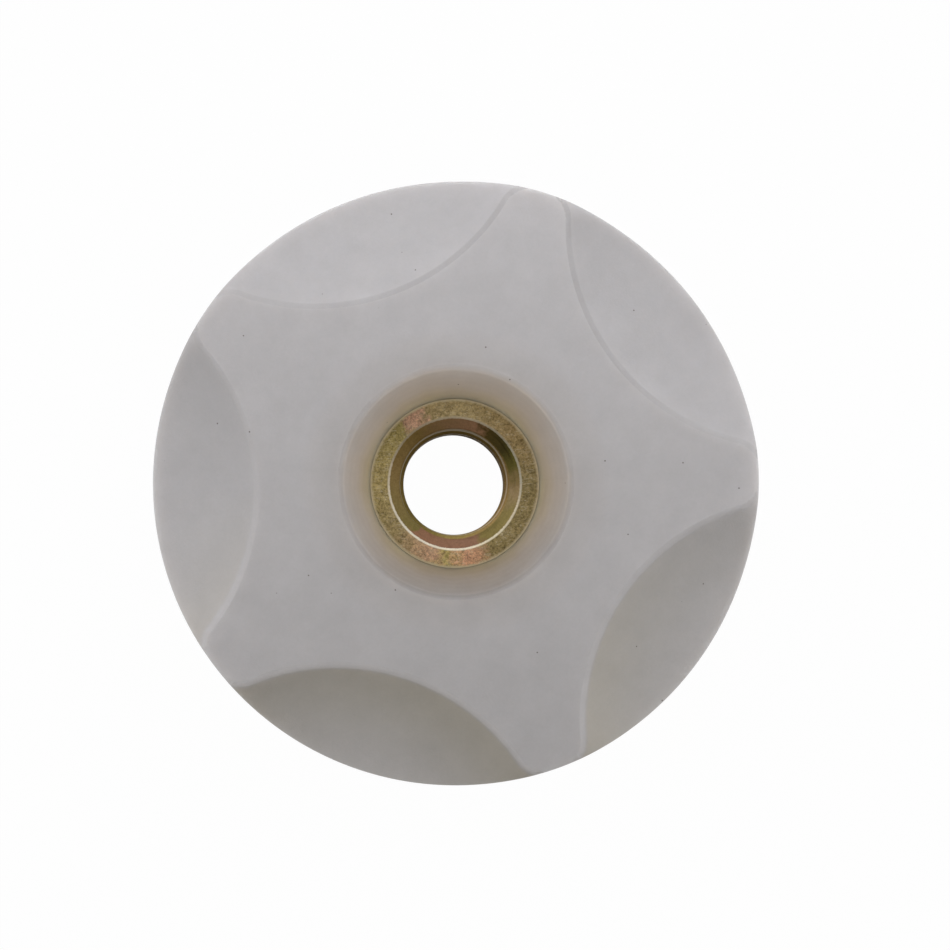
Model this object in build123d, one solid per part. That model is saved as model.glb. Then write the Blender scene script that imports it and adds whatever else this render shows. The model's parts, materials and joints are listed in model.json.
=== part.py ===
from build123d import *

import os
from math import asin, atan2, cos, degrees, pi, radians, sin, sqrt, tan

# A star knob: a solid moulded grip with five lobes, and a steel hex nut moulded into its middle.
# Millimetres, +Z up. The origin is the centre of the flat clamping face, on the thread's axis.
# One lobe points along +X.

# The grip's outer form
KNOB_DIAMETER = 50.0  # over the parting line, the widest circle of the skirt
KNOB_HEIGHT = 12.5  # clamping face to star face
PARTING_HEIGHT = 6.0  # clamping face to parting line
LOWER_DRAFT = 2.0  # degrees, skirt below the parting line
UPPER_DRAFT = 1.0  # degrees, skirt above the parting line

# The lobes, and the finger scoops between them
LOBE_COUNT = 5
LOBE_WIDTH = 4.9  # a lobe's tip on the star face, corner to corner before rounding
WAIST_RADIUS = 16.45  # thread axis to the middle of a scoop's edge on the star face
SCOOP_RADIUS = 14.3  # a scoop's section, from the star face down to the skirt
SCOOP_SLOPE = 42.0  # degrees, how steeply a scoop leaves the star face
TIP_ROUND = 2.2  # corners of a lobe's tip, seen from above
TIP_OVERRUN = 0.15  # how far a rounded corner passes the skirt, so that it crosses it

# Edges of the grip. Those at the skirt's upper end stay crisp, as the mould leaves them.
LIP_ROUND = 0.8  # where the scoops leave the star face
BASE_CHAMFER = 0.6  # round the clamping face
RECESS_ROUND = 0.7  # mouth of the central recess

# The hex nut, flush with the clamping face
THREAD_DIAMETER = 10.0  # major diameter
THREAD_PITCH = 1.5
NUT_ACROSS_FLATS = 16.0
NUT_HEIGHT = 8.4
NUT_CHAMFER_ANGLE = 30.0  # degrees, from the nut's faces
NUT_CHAMFER_INSET = 0.4  # flats to the rim of the bearing face
NUT_TURN = 50.0  # degrees, from the lobe on +X to a corner of the nut
COUNTERSINK_MARGIN = 0.5  # how far its rim lies outside the thread's major diameter
COUNTERSINK_ANGLE = 120.0  # degrees, included

# The conical recess over the nut
NUT_LIP = 0.6  # how far the grip laps over the nut's upper bearing face
RECESS_ANGLE = 30.0  # degrees, recess wall from the thread axis


def rise(angle):
    """Height gained for each millimetre outwards by a surface at this angle from level."""
    return tan(radians(angle))


rim_radius = KNOB_DIAMETER / 2
base_radius = rim_radius - PARTING_HEIGHT * rise(LOWER_DRAFT)
face_radius = rim_radius - (KNOB_HEIGHT - PARTING_HEIGHT) * rise(UPPER_DRAFT)

# The circle that meets the waist and two lobe corners is a scoop's edge on the star face.
corner_angle = pi / LOBE_COUNT - asin(LOBE_WIDTH / 2 / face_radius)
corner_reach = face_radius * cos(corner_angle)
corner_offset = face_radius * sin(corner_angle)
scoop_sagitta = corner_reach - WAIST_RADIUS
scoop_edge_radius = (scoop_sagitta**2 + corner_offset**2) / (2 * scoop_sagitta)
scoop_distance = WAIST_RADIUS + scoop_edge_radius
section_reach = SCOOP_RADIUS * sin(radians(SCOOP_SLOPE))
section_height = KNOB_HEIGHT + SCOOP_RADIUS * cos(radians(SCOOP_SLOPE))

# A tip's rounded corner touches the scoop's edge from inside the lobe and just crosses the skirt.
tip_from_scoop = scoop_edge_radius + TIP_ROUND
tip_from_axis = face_radius + TIP_OVERRUN - TIP_ROUND
tip_x = (tip_from_axis**2 - tip_from_scoop**2 + scoop_distance**2) / (2 * scoop_distance)
tip_y = sqrt(tip_from_axis**2 - tip_x**2)
tip_start = degrees(atan2(tip_y, tip_x))
tip_turn = degrees(atan2(tip_y, scoop_distance - tip_x)) + tip_start

# A basic 60 degree profile leaves 5/8 of the sharp thread's height in a nut.
bore_radius = THREAD_DIAMETER / 2 - 5 / 8 * THREAD_PITCH * sin(radians(60))
countersink_radius = THREAD_DIAMETER / 2 + COUNTERSINK_MARGIN
countersink_depth = (countersink_radius - bore_radius) / rise(COUNTERSINK_ANGLE / 2)

corner_radius = NUT_ACROSS_FLATS / 2 / cos(pi / 6)
bearing_radius = NUT_ACROSS_FLATS / 2 - NUT_CHAMFER_INSET
chamfer_height = (corner_radius - bearing_radius) * rise(NUT_CHAMFER_ANGLE)

recess_depth = KNOB_HEIGHT - NUT_HEIGHT
recess_floor_radius = bearing_radius - NUT_LIP
recess_mouth_radius = recess_floor_radius + recess_depth * rise(RECESS_ANGLE)


def turned(*section):
    """A solid of revolution from (radius, height) points on one side of the thread axis."""
    outline = Polyline(*[(radius, 0, height) for radius, height in section], close=True)
    return revolve(make_face(outline), Axis.Z)


def level_face(part, top):
    """The highest or lowest flat face that lies level."""
    return part.faces().filter_by(Axis.Z).sort_by(Axis.Z)[-1 if top else 0]


def common_edges(some_edges, other_edges):
    """The edges that two lists share."""
    return some_edges.filter_by(lambda edge: any(edge.is_same(other) for other in other_edges))


def grip_blank():
    """The turned blank, drafted both ways from its parting line."""
    return turned(
        (0, 0),
        (base_radius, 0),
        (rim_radius, PARTING_HEIGHT),
        (face_radius, KNOB_HEIGHT),
        (0, KNOB_HEIGHT),
    )


def scoop_cutter(centre_distance, turn):
    """A scoop's section turned about +Z. The distance is from that axis to the section's centre."""
    circle = Pos(centre_distance, section_height) * Circle(SCOOP_RADIUS)
    size = centre_distance + SCOOP_RADIUS, 2 * SCOOP_RADIUS
    outer_side = Pos(0, section_height) * Rectangle(*size, align=(Align.MIN, Align.CENTER))
    return revolve(Plane.XZ * (circle & outer_side), Axis.Z, turn)


def scooped_grip():
    """Five finger scoops fall from the star face to the skirt, which keeps its full circle."""
    scoop = Pos(scoop_distance, 0, 0) * scoop_cutter(scoop_edge_radius - section_reach, 360)
    corner = Rot(0, 0, -tip_start) * scoop_cutter(TIP_ROUND + section_reach, tip_turn)
    corner = Pos(tip_x, -tip_y, 0) * corner
    grip = grip_blank()
    for place in PolarLocations(0, LOBE_COUNT, start_angle=180 / LOBE_COUNT):
        grip -= place * scoop
        grip -= place * corner
        grip -= place * mirror(corner, Plane.XZ)
    return grip


def eased_grip():
    """The grip with the star's long edges rounded, and its clamping face chamfered."""
    grip = scooped_grip()
    star_edges = level_face(grip, top=True).edges()
    scoop_edges = grip.faces().filter_by(GeomType.REVOLUTION).edges()
    grip = fillet(common_edges(star_edges, scoop_edges), LIP_ROUND)
    return chamfer(level_face(grip, top=False).edges(), BASE_CHAMFER)


def nut_blank():
    """The nut before its hole: a hexagon with both faces chamfered to a round bearing face."""
    hexagon = Rot(0, 0, NUT_TURN) * RegularPolygon(corner_radius, 6)
    prism = extrude(hexagon, NUT_HEIGHT)
    envelope = turned(
        (0, 0),
        (bearing_radius, 0),
        (corner_radius, chamfer_height),
        (corner_radius, NUT_HEIGHT - chamfer_height),
        (bearing_radius, NUT_HEIGHT),
        (0, NUT_HEIGHT),
    )
    return prism & envelope


def thread_hole():
    """The hole at the thread's minor diameter, countersunk at both ends."""
    return turned(
        (0, 0),
        (countersink_radius, 0),
        (bore_radius, countersink_depth),
        (bore_radius, NUT_HEIGHT - countersink_depth),
        (countersink_radius, NUT_HEIGHT),
        (0, NUT_HEIGHT),
    )


def recess():
    """The conical recess that leaves the nut's upper face open."""
    return turned(
        (0, NUT_HEIGHT),
        (recess_floor_radius, NUT_HEIGHT),
        (recess_mouth_radius, KNOB_HEIGHT),
        (0, KNOB_HEIGHT),
    )


def make_knob_body():
    """The moulding: it fills every side of the nut, so its pocket is the nut's own blank."""
    body = eased_grip() - recess()
    mouth = level_face(body, top=True).inner_wires().edges()
    body = fillet(mouth, RECESS_ROUND)
    return body - nut_blank()


def make_hex_nut():
    """The nut, with a plain hole at the minor diameter in place of its thread."""
    return nut_blank() - thread_hole()


os.makedirs("parts", exist_ok=True)
export_step(make_knob_body(), "parts/knob_body.step")
export_step(make_hex_nut(), "parts/hex_nut.step")
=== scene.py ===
import json
from math import cos, pi, radians, sin, tan

import bmesh
import bpy
from mathutils import Matrix, Vector


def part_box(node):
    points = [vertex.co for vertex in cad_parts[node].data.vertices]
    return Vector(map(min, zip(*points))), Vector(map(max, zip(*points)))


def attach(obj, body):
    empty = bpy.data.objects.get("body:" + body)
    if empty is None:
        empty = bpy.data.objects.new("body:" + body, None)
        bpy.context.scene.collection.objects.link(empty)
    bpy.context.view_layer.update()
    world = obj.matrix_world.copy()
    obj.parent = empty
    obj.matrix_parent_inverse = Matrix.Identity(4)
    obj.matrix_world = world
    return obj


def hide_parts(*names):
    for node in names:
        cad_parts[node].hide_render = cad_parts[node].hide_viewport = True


# A star knob of natural plastic, moulded round a yellow zinc plated hex nut.
# Lengths are in millimetres and are turned to metres where a mesh or an object is made.
MM = 0.001

# The thread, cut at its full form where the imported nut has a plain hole
THREAD_PITCH = 1.5
THREAD_MAJOR = 5.12  # radius, with the clearance that a tap leaves
THREAD_FLANK = 30.0  # degrees, a flank from level
THREAD_START = 110.0  # degrees from +X, where the groove would meet the nut's face
COUNTERSINK_RADIUS = 5.5
COUNTERSINK_SLOPE = 30.0  # degrees, its wall from level
BELL_MOUTH = 0.62  # how far the hole opens towards either face, as punched holes do
BELL_DEPTH = 2.6
MOUTH_ROUND = 0.4  # radius that rounds it into the nut's face
MOUTH_STEPS = 6
COUNTERSINK_ONLY = 0.15  # depth below either face that the thread doesn't reach
TURN_STEPS = 240  # facets round the bore
FLANK_STEPS = 10  # facets down a flank
CREST_STEPS = 3  # and over half a crest
HOLE_MARGIN = 0.05  # how far past the countersink's edge the plain hole's faces are looked for
SAME_PLACE = 0.0001  # vertices nearer than this are one
CUT_SLIVER = 0.01  # and where the thread is cut off, nearer than this

SHARP_EDGE = 35.0  # degrees, from which an edge between faces is shown sharp

# The plastic: its own colour, and as factors at each radius the nut's brown showing through it, with
# painted shade over the recess's rounded mouth near 9.6 mm
PLASTIC = (0.415, 0.402, 0.406)
NUT_CORNER = 50.0  # degrees from +X to a corner of the nut
NUT_SHOWING_AND_MOUTH_SHADE = (
    (7.00, (1.12, 0.94, 0.58)),
    (7.15, (1.02, 0.86, 0.56)),
    (7.40, (0.95, 0.81, 0.575)),
    (7.65, (0.98, 0.85, 0.645)),
    (8.10, (0.975, 0.875, 0.745)),
    (8.60, (0.97, 0.89, 0.785)),
    (9.10, (0.975, 0.92, 0.845)),
    (9.60, (0.925, 0.905, 0.88)),
    (10.1, (0.935, 0.92, 0.90)),
    (10.6, (0.95, 0.94, 0.925)),
    (11.1, (0.965, 0.955, 0.94)),
    (11.8, (0.985, 0.975, 0.965)),
    (12.8, (1.0, 1.0, 1.0)),
)

NUT_SHOWING_RADII = (7.0, 13.0)
CORNER_SPREAD = 0.12  # how much further out the glow reaches over a corner of the nut
CLOUD_SPREAD = 0.45  # how far the plastic's cloudiness moves it
RECESS_EDGE = (9.2, 9.9)  # radii between which the recess's marks fade out
TURNING_WAVES = 17.0  # turning marks of the mould, in radians for each millimetre outwards
TURNING_TONE = 0.012
RECESS_GLOW = (0.33, 0.03)  # painted light on the wall, for light through it: its share towards +Y, and all round
EDGE_DROP = ((0.24, 0.12), (0.015, 0.0005))  # below the star face: where the painted edge shade comes and goes
# painted shade on the rounded edges below the star face, all round
EDGE_PAINTED_SHADE = 0.11
SIDE_PAINTED_SHADE = (0.12, -0.07)  # painted shade added round the outside: its share towards one side, and all round; below zero it is painted light
SIDE_TURN = 15.0  # degrees from +Y to that side
STAR_EDGE = (12.0, 13.0)  # radii between which the recess's edge gives way to the outside
WARM_SHADE = (1.02, 0.985, 0.875, 1.0)
WARM_LEVELS = ((7.5, 11.8), (12.1, 12.4))  # above the clamping face
WARM_RADII = (13.0, 15.0)
SPECK = (0.10, 0.085, 0.07, 1.0)
SPECK_PLACES = 0.46  # to a millimetre, along a line
SPECK_SIZE = (0.022, 0.040)  # as a share of the space between two

# The zinc's film round the nut, with painted reflection and shade by angle: degrees from +X, and a
# colour
FACE_FILM_AND_SHADING = (
    (0.0, (0.26, 0.20, 0.09)),
    (40.0, (0.34, 0.24, 0.11)),
    (80.0, (0.38, 0.29, 0.14)),
    (108.0, (0.36, 0.27, 0.13)),
    (116.0, (0.55, 0.33, 0.22)),
    (124.0, (0.50, 0.30, 0.20)),
    (131.0, (0.30, 0.24, 0.09)),
    (180.0, (0.40, 0.31, 0.13)),
    (222.0, (0.33, 0.25, 0.12)),
    (236.0, (0.46, 0.30, 0.17)),
    (250.0, (0.52, 0.32, 0.20)),
    (262.0, (0.42, 0.34, 0.12)),
    (275.0, (0.60, 0.33, 0.20)),
    (290.0, (0.52, 0.30, 0.17)),
    (297.0, (0.30, 0.23, 0.10)),
    (360.0, (0.26, 0.20, 0.09)),
)
CONE_FILM_AND_SHADING = (
    (0.0, (0.42, 0.30, 0.13)),
    (15.0, (0.20, 0.17, 0.04)),
    (36.0, (0.09, 0.07, 0.02)),
    (58.0, (0.12, 0.08, 0.02)),
    (68.0, (0.40, 0.22, 0.12)),
    (92.0, (0.34, 0.20, 0.10)),
    (125.0, (0.26, 0.17, 0.05)),
    (165.0, (0.36, 0.24, 0.09)),
    (205.0, (0.36, 0.27, 0.10)),
    (226.0, (0.34, 0.27, 0.09)),
    (230.0, (0.46, 0.24, 0.14)),
    (290.0, (0.44, 0.24, 0.15)),
    (297.0, (0.38, 0.30, 0.10)),
    (330.0, (0.48, 0.38, 0.14)),
    (350.0, (0.58, 0.42, 0.22)),
    (360.0, (0.42, 0.30, 0.13)),
)
BORE_FILM_AND_SHADING = (
    (0.0, (0.34, 0.22, 0.08)),
    (40.0, (0.18, 0.12, 0.03)),
    (100.0, (0.18, 0.12, 0.03)),
    (180.0, (0.20, 0.14, 0.04)),
    (225.0, (0.24, 0.18, 0.05)),
    (270.0, (0.46, 0.34, 0.11)),
    (320.0, (0.55, 0.37, 0.15)),
    (360.0, (0.34, 0.22, 0.08)),
)
CONE_PAINTED_SHADE = 0.63  # painted shade: how much darker the film is made in the countersink
BORE_PAINTED_SHADE = 0.85  # and in the bore
WORN_RING_AND_HIGHLIGHT = (
    (0.0, (0.52, 0.48, 0.38)),
    (40.0, (0.34, 0.30, 0.22)),
    (80.0, (0.50, 0.42, 0.30)),
    (140.0, (0.30, 0.25, 0.17)),
    (180.0, (0.70, 0.62, 0.48)),
    (225.0, (0.90, 0.85, 0.72)),
    (290.0, (0.92, 0.84, 0.64)),
    (340.0, (0.80, 0.70, 0.52)),
    (360.0, (0.52, 0.48, 0.38)),
)

BORE_EDGE = (4.50, 4.64)  # radii between which the bore's film gives way to the countersink's
CONE_EDGE = (5.40, 5.52)  # and that to the face's
RING_EDGES = ((5.36, 5.42), (5.52, 5.62))  # where the worn, highlighted ring begins, and where it ends
FLASH_EDGE = (6.72, 6.98)  # where the plastic's thin flash begins over the nut's rim
FLASH = (0.58, 0.49, 0.32, 1.0)
SCRATCH = (0.62, 0.53, 0.36, 1.0)
SCRATCHES = ((25.0, 9.0), (80.0, 7.0), (140.0, 8.0))  # degrees of slant, and how drawn out

# The floor
FLOOR_REACH = 3000.0  # half its side
FLOOR_GREY = (0.35, 0.35, 0.35, 1.0)  # what it is to the light
FLOOR_WHITENESS = 0.985  # how much of it is pure white to the camera

# The light
WORLD_STRENGTH = 0.366
WORLD_TINT = (1.03, 1.0, 0.91)
LAMP_TINT = (0.985, 1.0, 1.05)
LAMP_SIZE = 50.0
LAMP_AIM = 10.0  # above the clamping face, the point that each lamp faces
LAMPS = (  # name, degrees above level, degrees from +X, distance from that point, and watts
    ("far_lamp", 30.0, 90.0, 80.0, 0.0315),
    ("high_lamp", 50.0, 90.0, 100.0, 0.0120),
    ("left_lamp", 30.0, 180.0, 100.0, 0.0405),
    ("right_lamp", 30.0, 0.0, 100.0, 0.0420),
)

# The camera
CAMERA_HEIGHT = 430.0  # above the widest circle of the grip
WIDEST_HEIGHT = 6.0  # clamping face to that circle
CAMERA_ASIDE = (-12.0, -13.0)  # from the thread's axis, right and up as the camera sees it
CAMERA_AIM = (1.75, 0.78)  # the point it looks at, in the same directions
CAMERA_ROLL = 1.6  # degrees, how far +X stands above level in the view
SENSOR = 36.0
FOCAL_LENGTH = 195.8
CLIP = (10.0, 10000.0)  # nearest and furthest that the camera sees


class Shade:
    """A node's output that takes arithmetic: each operator adds a Math node."""

    def __init__(self, tree, socket=None):
        self.tree = tree
        self.socket = socket

    def node(self, kind, settings=None, sockets=None, output=0):
        """Adds a node: its settings first, then the values or links of its sockets."""
        made = self.tree.nodes.new(kind)
        for name, value in (settings or {}).items():
            if name == "stops":
                while len(made.color_ramp.elements) < len(value):
                    made.color_ramp.elements.new(1.0)
                for stop, (place, colour) in zip(made.color_ramp.elements, value):
                    stop.position = place
                    stop.color = (*colour, 1.0)
            else:
                setattr(made, name, value)
        for name, value in (sockets or {}).items():
            if isinstance(value, Shade):
                self.tree.links.new(value.socket, made.inputs[name])
            else:
                made.inputs[name].default_value = value
        return Shade(self.tree, made.outputs[output] if made.outputs else None)

    def math(self, operation, *values):
        return self.node("ShaderNodeMath", {"operation": operation}, dict(enumerate(values)))

    def __add__(self, other):
        return self.math("ADD", self, other)

    def __sub__(self, other):
        return self.math("SUBTRACT", self, other)

    def __mul__(self, other):
        return self.math("MULTIPLY", self, other)

    def __radd__(self, other):
        return self.math("ADD", other, self)

    def __rsub__(self, other):
        return self.math("SUBTRACT", other, self)

    def __rmul__(self, other):
        return self.math("MULTIPLY", other, self)

    def sine(self):
        return self.math("SINE", self)

    def cosine(self):
        return self.math("COSINE", self)

    def ramp(self, low, high, stops):
        """A colour for this value: the stops give the value that each colour stands at."""
        sockets = {"Value": self, "From Min": low, "From Max": high}
        ranged = self.node("ShaderNodeMapRange", None, sockets)
        placed = [((value - low) / (high - low), colour) for value, colour in stops]
        return self.node("ShaderNodeValToRGB", {"stops": placed}, {"Fac": ranged})

    def grey(self):
        """This value as a colour."""
        return self.node("ShaderNodeCombineColor", None, {0: self, 1: self, 2: self})

    def between(self, low, high):
        """0 below low, 1 above high, and a smooth step between them."""
        sockets = {"Value": self, "From Min": low, "From Max": high}
        return self.node("ShaderNodeMapRange", {"interpolation_type": "SMOOTHSTEP"}, sockets)

    def noise(self, scale, detail, roughness=0.5):
        """Noise over this place, centred on 0.5."""
        sockets = {"Vector": self, "Scale": scale, "Detail": detail, "Roughness": roughness}
        return self.node("ShaderNodeTexNoise", None, sockets)

    def mixed(self, over, factor, blend="MIX"):
        """This colour with another laid over it by a factor."""
        sockets = {0: factor, 6: self, 7: over}
        return self.node("ShaderNodeMix", {"data_type": "RGBA", "blend_type": blend}, sockets, 2)


class Place:
    """Where a point lies on the knob: in millimetres, and round the thread's axis."""

    def __init__(self, tree):
        start = Shade(tree)
        object_place = start.node("ShaderNodeTexCoord", output=3)
        self.mm = object_place.node(
            "ShaderNodeVectorMath", {"operation": "SCALE"}, {0: object_place, "Scale": 1 / MM}
        )
        split = {"Vector": self.mm}
        self.x = start.node("ShaderNodeSeparateXYZ", None, split, 0)
        self.y = start.node("ShaderNodeSeparateXYZ", None, split, 1)
        self.z = start.node("ShaderNodeSeparateXYZ", None, split, 2)
        self.radius = start.math("SQRT", self.x * self.x + self.y * self.y)
        self.angle = start.math("ARCTAN2", self.y, self.x)


def new_material(name):
    """An empty material, and the tree to build it in."""
    material = bpy.data.materials.new(name)
    material.use_nodes = True
    material.node_tree.nodes.clear()
    return material, material.node_tree


def finish_material(tree, surface):
    surface.node("ShaderNodeOutputMaterial", None, {"Surface": surface})


def natural_plastic(star_face):
    """Undyed milky plastic: fine mould grain, a few specks, the nut showing through it, and painted
    light and shade at its edges and in the recess.
    """
    material, tree = new_material("natural_plastic")
    place = Place(tree)
    start = Shade(tree)

    # The nut shows brown through the wall round it, further out over its six corners. The same factors
    # darken the recess's rounded mouth near 9.6 mm: painted shade.
    corners = ((place.angle - radians(NUT_CORNER)) * 6.0).cosine()
    cloudy = place.mm.noise(0.6, 2.0) - 0.5
    seen_radius = place.radius - corners * CORNER_SPREAD + cloudy * CLOUD_SPREAD
    nut_and_mouth_shade = seen_radius.ramp(*NUT_SHOWING_RADII, NUT_SHOWING_AND_MOUTH_SHADE)
    base = start.node("ShaderNodeRGB")
    base.socket.default_value = (*PLASTIC, 1.0)
    colour = base.mixed(nut_and_mouth_shade, 1.0, "MULTIPLY")

    # The rounded edges below the star face get painted shade all round; round the outside it is
    # stronger on the lit side towards +Y, and turns to painted light on the shaded side
    (low, lit), (dim, high) = [[star_face - drop for drop in drops] for drops in EDGE_DROP]
    edge = place.z.between(low, lit) * (1.0 - place.z.between(dim, high))
    outer_edge = place.radius.between(*STAR_EDGE)
    lit_side_shade = (place.angle + radians(SIDE_TURN)).sine() * SIDE_PAINTED_SHADE[0] + SIDE_PAINTED_SHADE[1]
    painted_edge_shade = edge * (EDGE_PAINTED_SHADE + lit_side_shade * outer_edge)

    mottle = place.mm.noise(0.35, 5.0, 0.75)
    grain = place.mm.noise(5.0, 3.0, 0.7)
    in_recess = 1.0 - place.radius.between(*RECESS_EDGE)
    turning = (place.radius * TURNING_WAVES + cloudy * 6.0).cosine() * in_recess * TURNING_TONE
    # Painted light on the recess wall's shaded side, which stands on +Y, stands in for light coming
    # through the plastic.
    glow = place.angle.sine() * in_recess * RECESS_GLOW[0] + in_recess * RECESS_GLOW[1]
    shade = 1.0 + (mottle - 0.5) * 0.22 + (grain - 0.5) * 0.10 + turning + glow - painted_edge_shade
    colour = colour.mixed(shade.grey(), 1.0, "MULTIPLY")

    # Painted warm shade below the edges on the shaded side, towards -Y, stands in for light that has
    # passed through the plastic.
    shaded = start.math("MAXIMUM", place.angle.sine() * -1.0, 0.0)
    above, below = WARM_LEVELS
    warm = shaded * place.z.between(*above) * (1.0 - place.z.between(*below))
    colour = colour.mixed(WARM_SHADE, warm * place.radius.between(*WARM_RADII), "MULTIPLY")

    # Specks of dirt: one small dark ball here and there in the moulding
    sockets = {"Vector": place.mm, "Scale": SPECK_PLACES}
    speck = 1.0 - place.mm.node("ShaderNodeTexVoronoi", None, sockets).between(*SPECK_SIZE)
    colour = colour.mixed(SPECK, speck * 0.85)

    roughness = 0.56 + (grain - 0.5) * 0.2
    bump = start.node(
        "ShaderNodeBump", None, {"Strength": 0.25, "Distance": 0.05 * MM, "Height": grain}
    )
    surface = start.node(
        "ShaderNodeBsdfPrincipled",
        {"subsurface_method": "RANDOM_WALK"},
        {
            "Base Color": colour,
            "Roughness": roughness,
            "Normal": bump,
            "IOR": 1.5,
            "Subsurface Weight": 0.8,
            "Subsurface Radius": (1.0, 0.92, 0.84),
            "Subsurface Scale": 3.0 * MM,
        },
    )
    finish_material(tree, surface)
    return material


def darkened(film, tone):
    """The same film, each colour darker by this factor."""
    return [(turn, tuple(part * tone for part in colour)) for turn, colour in film]


def yellow_zinc():
    """Steel under yellow chromate: olive and gold, with copper pink patches, fine scratches, and
    reflection and shade painted in round the nut.
    """
    material, tree = new_material("yellow_zinc_steel")
    place = Place(tree)
    start = Shade(tree)

    # The film's colour changes in patches round the nut, with ragged borders. The same tables paint in
    # reflection and shade by angle, the shadowed thread's dark crescent among them, darker still in
    # the countersink and the bore.
    ragged = place.mm.noise(1.1, 3.0, 0.6) - 0.5
    blurred = place.mm.noise(3.5, 2.0, 0.6) - 0.5
    turn = place.angle + ragged * 0.5 + blurred * 0.12
    turn = start.math("WRAP", start.math("DEGREES", turn), 360.0, 0.0)
    face = turn.ramp(0.0, 360.0, FACE_FILM_AND_SHADING)
    cone = turn.ramp(0.0, 360.0, darkened(CONE_FILM_AND_SHADING, CONE_PAINTED_SHADE))
    bore = turn.ramp(0.0, 360.0, darkened(BORE_FILM_AND_SHADING, BORE_PAINTED_SHADE))
    ring = turn.ramp(0.0, 360.0, WORN_RING_AND_HIGHLIGHT)
    inner = (place.radius + blurred * 0.10).between(*BORE_EDGE)
    outer = (place.radius + blurred * 0.06).between(*CONE_EDGE)
    colour = bore.mixed(cone, inner).mixed(face, outer)

    grit = place.mm.noise(6.0, 4.0, 0.7)
    rough_face = place.mm.noise(2.2, 3.0, 0.6)
    strength = 0.45 + 0.95 * outer
    shade = 1.0 + (grit - 0.5) * 2.0 * strength + (rough_face - 0.5) * 0.7 * strength
    colour = colour.mixed(shade.grey(), 1.0, "MULTIPLY")

    # Short scratches at three slants, each bright where its own noise is near its middle
    for slant, stretch in SCRATCHES:
        turned = (0.0, 0.0, radians(slant))
        sockets = {"Vector": place.mm, "Rotation": turned, "Scale": (1.0, stretch, 1.0)}
        scored = start.node("ShaderNodeMapping", None, sockets).noise(0.9, 1.5)
        line = 1.0 - scored.math("ABSOLUTE", scored - 0.5).between(0.004, 0.018)
        patch = place.mm.noise(0.8 + slant / 100.0, 1.0).between(0.50, 0.62)
        colour = colour.mixed(SCRATCH, line * patch * outer * 0.7)

    # A worn silvery ring where the countersink meets the face, with a painted highlight that is
    # brightest from 180 to 340 degrees
    wander = (grit - 0.5) * 0.10 + blurred * 0.05
    near, far = RING_EDGES
    worn_and_highlit = (place.radius + wander).between(*near) - (place.radius + wander).between(*far)
    colour = colour.mixed(ring, worn_and_highlit * (0.85 + (grit - 0.5) * 0.9))

    # Thin flash from the moulding creeps over the rim.
    flash = (place.radius + blurred * 0.25).between(*FLASH_EDGE)
    colour = colour.mixed(FLASH, flash)

    roughness = 0.42 + (grit - 0.5) * 0.3
    bump = start.node(
        "ShaderNodeBump", None, {"Strength": 0.6, "Distance": 0.04 * MM, "Height": grit * strength}
    )
    surface = start.node(
        "ShaderNodeBsdfPrincipled",
        None,
        {
            "Base Color": colour,
            "Metallic": 0.45,
            "Roughness": roughness,
            "Specular IOR Level": 0.12,
            "Normal": bump,
        },
    )
    finish_material(tree, surface)
    return material


def finished(name, bm, material):
    """A mesh object in metres, smooth but for its sharp edges."""
    mesh = bpy.data.meshes.new(name)
    bm.to_mesh(mesh)
    bm.free()
    mesh.shade_smooth()
    mesh.set_sharp_from_angle(angle=radians(SHARP_EDGE))
    made = bpy.data.objects.new(name, mesh)
    bpy.context.scene.collection.objects.link(made)
    mesh.materials.append(material)
    return made


def root_flat():
    """Half the width of the flat at the groove's root, as a basic profile has it."""
    return THREAD_PITCH / 16


def bore_radius(level, turn, height, minor):
    """The finished hole's radius at a level and at an angle round the axis."""
    depth = min(level, height - level)
    land = minor + BELL_MOUTH * max(0.0, 1 - depth / BELL_DEPTH) ** 2
    along = (level - height) / THREAD_PITCH - (turn - radians(THREAD_START)) / (2 * pi)
    from_groove = abs(along - round(along)) * THREAD_PITCH
    groove = THREAD_MAJOR - max(0.0, from_groove - root_flat()) / tan(radians(THREAD_FLANK))
    countersink = COUNTERSINK_RADIUS - depth / tan(radians(COUNTERSINK_SLOPE))
    return max(land, groove, countersink)


def mouth_profile(height):
    """Radius and level of each step from the countersink's wall, round its edge, to the face."""
    slope = radians(COUNTERSINK_SLOPE)
    tangent = COUNTERSINK_RADIUS + MOUTH_ROUND * tan(slope / 2)
    profile = []
    for step in range(MOUTH_STEPS + 1):
        turn = slope * (1 - step / MOUTH_STEPS)
        profile.append((tangent - MOUTH_ROUND * sin(turn), height - MOUTH_ROUND * (1 - cos(turn))))
    return profile


def open_rim(bm, upper, height):
    """The boundary edges at the upper or the lower end."""
    middle = height / 2 * MM
    ends = [edge for edge in bm.edges if edge.is_boundary]
    return [edge for edge in ends if (edge.verts[0].co.z > middle) == upper]


def carry_on(bm, rim, profile):
    """Carries an open end on through rings of these radii and levels."""
    for radius, level in profile:
        grown = bmesh.ops.extrude_edge_only(bm, edges=rim)["geom"]
        ring = {item for item in grown if isinstance(item, bmesh.types.BMVert)}
        for vert in ring:
            flat = vert.co.xy.normalized() * radius
            vert.co = Vector((flat.x, flat.y, level)) * MM
        edges = [item for item in grown if isinstance(item, bmesh.types.BMEdge)]
        rim = [edge for edge in edges if ring.issuperset(edge.verts)]


def pitch_levels(minor):
    """Levels over one pitch from the middle of a crest, with each corner of the thread among them."""
    flat = root_flat()
    crest = flat + (THREAD_MAJOR - minor) * tan(radians(THREAD_FLANK))
    flank = [flat + (crest - flat) * step / FLANK_STEPS for step in range(FLANK_STEPS)]
    land = [crest + (THREAD_PITCH / 2 - crest) * step / CREST_STEPS for step in range(CREST_STEPS)]
    half = flank + land
    return [-THREAD_PITCH / 2] + [-level for level in reversed(half)] + half


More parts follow.
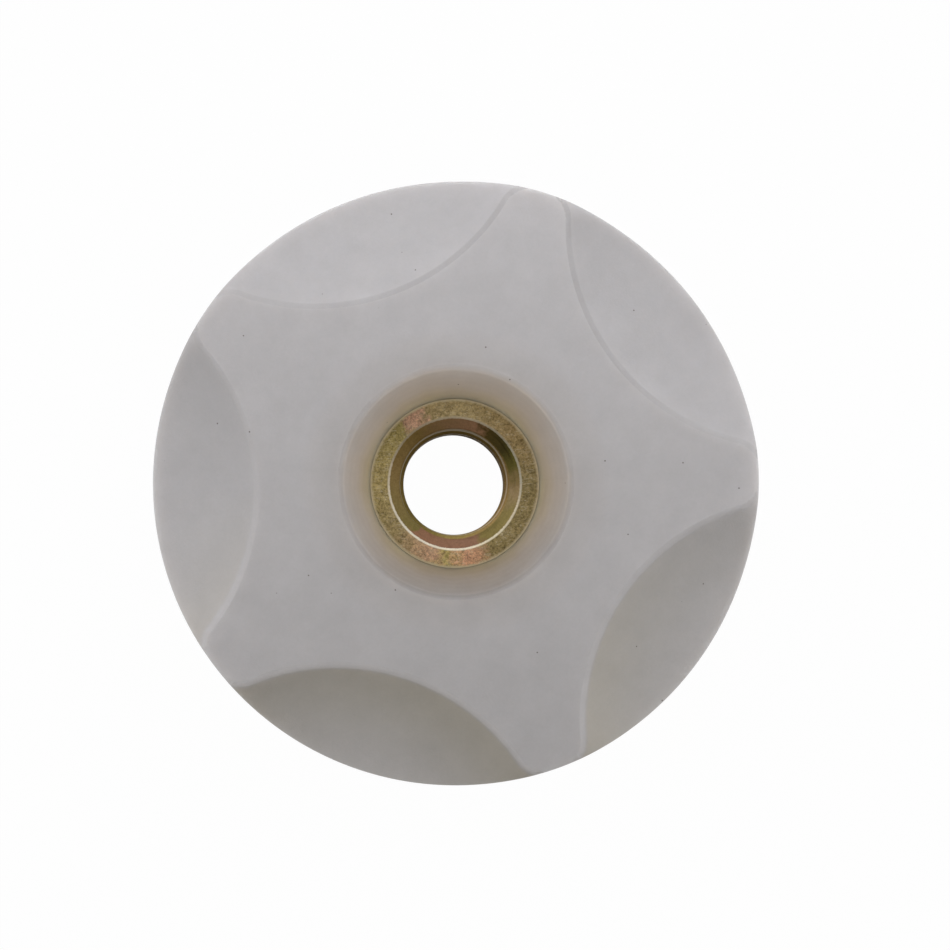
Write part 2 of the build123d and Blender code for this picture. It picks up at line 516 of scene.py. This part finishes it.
def threaded_bore(height, minor):
    """The hole's wall: a grid rolled and screwed up, then drawn out to thread and countersinks."""
    turns = int(height / THREAD_PITCH) + 4
    levels = [
        height + (turn - turns + 1) * THREAD_PITCH + level
        for turn in range(turns)
        for level in pitch_levels(minor)
    ]
    bm = bmesh.new()
    bmesh.ops.create_grid(bm, x_segments=TURN_STEPS, y_segments=len(levels) - 1, size=1.0)
    for vert in bm.verts:
        along = (vert.co.x + 1) / 2
        row = round((vert.co.y + 1) / 2 * (len(levels) - 1))
        turn = radians(THREAD_START) + 2 * pi * along
        level = levels[row] + THREAD_PITCH * along
        radius = bore_radius(level, turn, height, minor)
        vert.co = Vector((radius * cos(turn), radius * sin(turn), level)) * MM
    bmesh.ops.remove_doubles(bm, verts=bm.verts[:], dist=SAME_PLACE * MM)

    for level, outward in ((COUNTERSINK_ONLY, -1), (height - COUNTERSINK_ONLY, 1)):
        bmesh.ops.bisect_plane(
            bm,
            geom=bm.verts[:] + bm.edges[:] + bm.faces[:],
            plane_co=(0, 0, level * MM),
            plane_no=(0, 0, outward),
            clear_outer=True,
        )
    bmesh.ops.remove_doubles(bm, verts=bm.verts[:], dist=CUT_SLIVER * MM)
    upper = mouth_profile(height)
    lower = [(radius, height - level) for radius, level in upper]
    carry_on(bm, open_rim(bm, True, height), upper)
    carry_on(bm, open_rim(bm, False, height), lower)
    return bm


def threaded_nut(frame, material):
    """The nut with its plain hole's wall replaced by a threaded one, countersunk and rounded."""
    low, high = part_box("hex_nut")
    height = (high.z - low.z) / MM
    thread = next(mount for mount in frame["record"]["mounts"] if mount["name"] == "thread")
    bore = threaded_bore(height, thread["dims"]["r_mm"])
    bore_mesh = bpy.data.meshes.new("bore")
    bore.to_mesh(bore_mesh)
    bore.free()

    bm = bmesh.new()
    bm.from_mesh(frame["nodes"]["hex_nut"].data)
    bmesh.ops.remove_doubles(bm, verts=bm.verts[:], dist=SAME_PLACE * MM)
    hole = [
        face
        for face in bm.faces
        if all(vert.co.xy.length < (COUNTERSINK_RADIUS + HOLE_MARGIN) * MM for vert in face.verts)
    ]
    bmesh.ops.delete(bm, geom=hole, context="FACES")
    for vert in bm.verts:
        if vert.is_boundary:
            flat = vert.co.xy.normalized() * (COUNTERSINK_RADIUS + 2 * MOUTH_ROUND) * MM
            vert.co = Vector((flat.x, flat.y, vert.co.z))
    bm.from_mesh(bore_mesh)
    bpy.data.meshes.remove(bore_mesh)
    for upper in (True, False):
        bmesh.ops.triangle_fill(bm, edges=open_rim(bm, upper, height), use_beauty=True)
    bmesh.ops.recalc_face_normals(bm, faces=bm.faces[:])

    nut = finished("threaded_nut", bm, material)
    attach(nut, "root")
    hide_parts("hex_nut")


def lay_floor():
    """A white floor. It looks white to the camera and in reflections, and keeps a soft shadow."""
    bm = bmesh.new()
    bmesh.ops.create_grid(bm, x_segments=1, y_segments=1, size=FLOOR_REACH * MM)
    material, tree = new_material("white_floor")
    start = Shade(tree)
    camera_ray = start.node("ShaderNodeLightPath", output=0)
    glossy_ray = start.node("ShaderNodeLightPath", output=3)
    transmission_ray = start.node("ShaderNodeLightPath", output=6)
    seen = start.math("MAXIMUM", start.math("MAXIMUM", camera_ray, glossy_ray), transmission_ray)
    paint = start.node("ShaderNodeBsdfDiffuse", None, {"Color": FLOOR_GREY})
    sockets = {"Color": (1.0, 1.0, 1.0, 1.0), "Strength": 1.0}
    white = start.node("ShaderNodeEmission", None, sockets)
    sockets = {0: seen * FLOOR_WHITENESS, 1: paint, 2: white}
    surface = start.node("ShaderNodeMixShader", None, sockets)
    finish_material(tree, surface)
    floor = finished("floor", bm, material)


def lamp(name, elevation, azimuth, reach, power):
    """A round soft lamp that faces the knob, in degrees and millimetres. It leaves no reflection."""
    light = bpy.data.lights.new(name, "AREA")
    light.shape = "DISK"
    light.size = LAMP_SIZE * MM
    light.energy = power
    light.color = LAMP_TINT
    made = bpy.data.objects.new(name, light)
    rise, turn = radians(elevation), radians(azimuth)
    away = reach * Vector((cos(rise) * cos(turn), cos(rise) * sin(turn), sin(rise)))
    made.location = (Vector((0, 0, LAMP_AIM)) + away) * MM
    made.rotation_euler = (-away).to_track_quat("-Z", "Y").to_euler()
    made.visible_camera = False
    made.visible_glossy = False
    bpy.context.scene.collection.objects.link(made)


def set_lights():
    """A warm white surround, and lamps on the far side, the left and the right."""
    world = bpy.data.worlds.new("soft_surround")
    world.use_nodes = True
    background = world.node_tree.nodes["Background"]
    background.inputs["Color"].default_value = (*WORLD_TINT, 1.0)
    background.inputs["Strength"].default_value = WORLD_STRENGTH
    bpy.context.scene.world = world
    for settings in LAMPS:
        lamp(*settings)


def set_camera():
    """Straight above the star face, a little to one side, and turned a little."""
    roll = radians(CAMERA_ROLL)
    right = Vector((cos(roll), -sin(roll), 0))
    up = Vector((sin(roll), cos(roll), 0))
    widest = Vector((0, 0, WIDEST_HEIGHT))
    aside = right * CAMERA_ASIDE[0] + up * CAMERA_ASIDE[1]
    place = widest + aside + Vector((0, 0, CAMERA_HEIGHT))
    aim = widest + right * CAMERA_AIM[0] + up * CAMERA_AIM[1]
    back = (place - aim).normalized()
    side = up.cross(back).normalized()
    turn = Matrix((side, back.cross(side), back)).transposed()

    camera = bpy.data.cameras.new("camera")
    camera.sensor_width = SENSOR
    camera.lens = FOCAL_LENGTH
    camera.clip_start, camera.clip_end = (reach * MM for reach in CLIP)
    made = bpy.data.objects.new("camera", camera)
    made.matrix_world = Matrix.Translation(place * MM) @ turn.to_4x4()
    bpy.context.scene.collection.objects.link(made)
    bpy.context.scene.camera = made


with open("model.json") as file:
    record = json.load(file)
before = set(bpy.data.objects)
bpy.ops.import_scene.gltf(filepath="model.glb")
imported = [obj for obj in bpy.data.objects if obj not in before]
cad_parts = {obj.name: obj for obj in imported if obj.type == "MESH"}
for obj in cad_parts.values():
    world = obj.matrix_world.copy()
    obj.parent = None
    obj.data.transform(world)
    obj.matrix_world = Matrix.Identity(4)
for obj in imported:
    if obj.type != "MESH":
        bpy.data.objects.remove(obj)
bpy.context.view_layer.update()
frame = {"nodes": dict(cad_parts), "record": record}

body = frame["nodes"]["knob_body"]
star_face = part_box("knob_body")[1].z / MM
body.data.materials.clear()
body.data.materials.append(natural_plastic(star_face))
threaded_nut(frame, yellow_zinc())
lay_floor()
set_lights()
set_camera()
bpy.context.scene.view_settings.view_transform = "Standard"

bpy.context.view_layer.update()
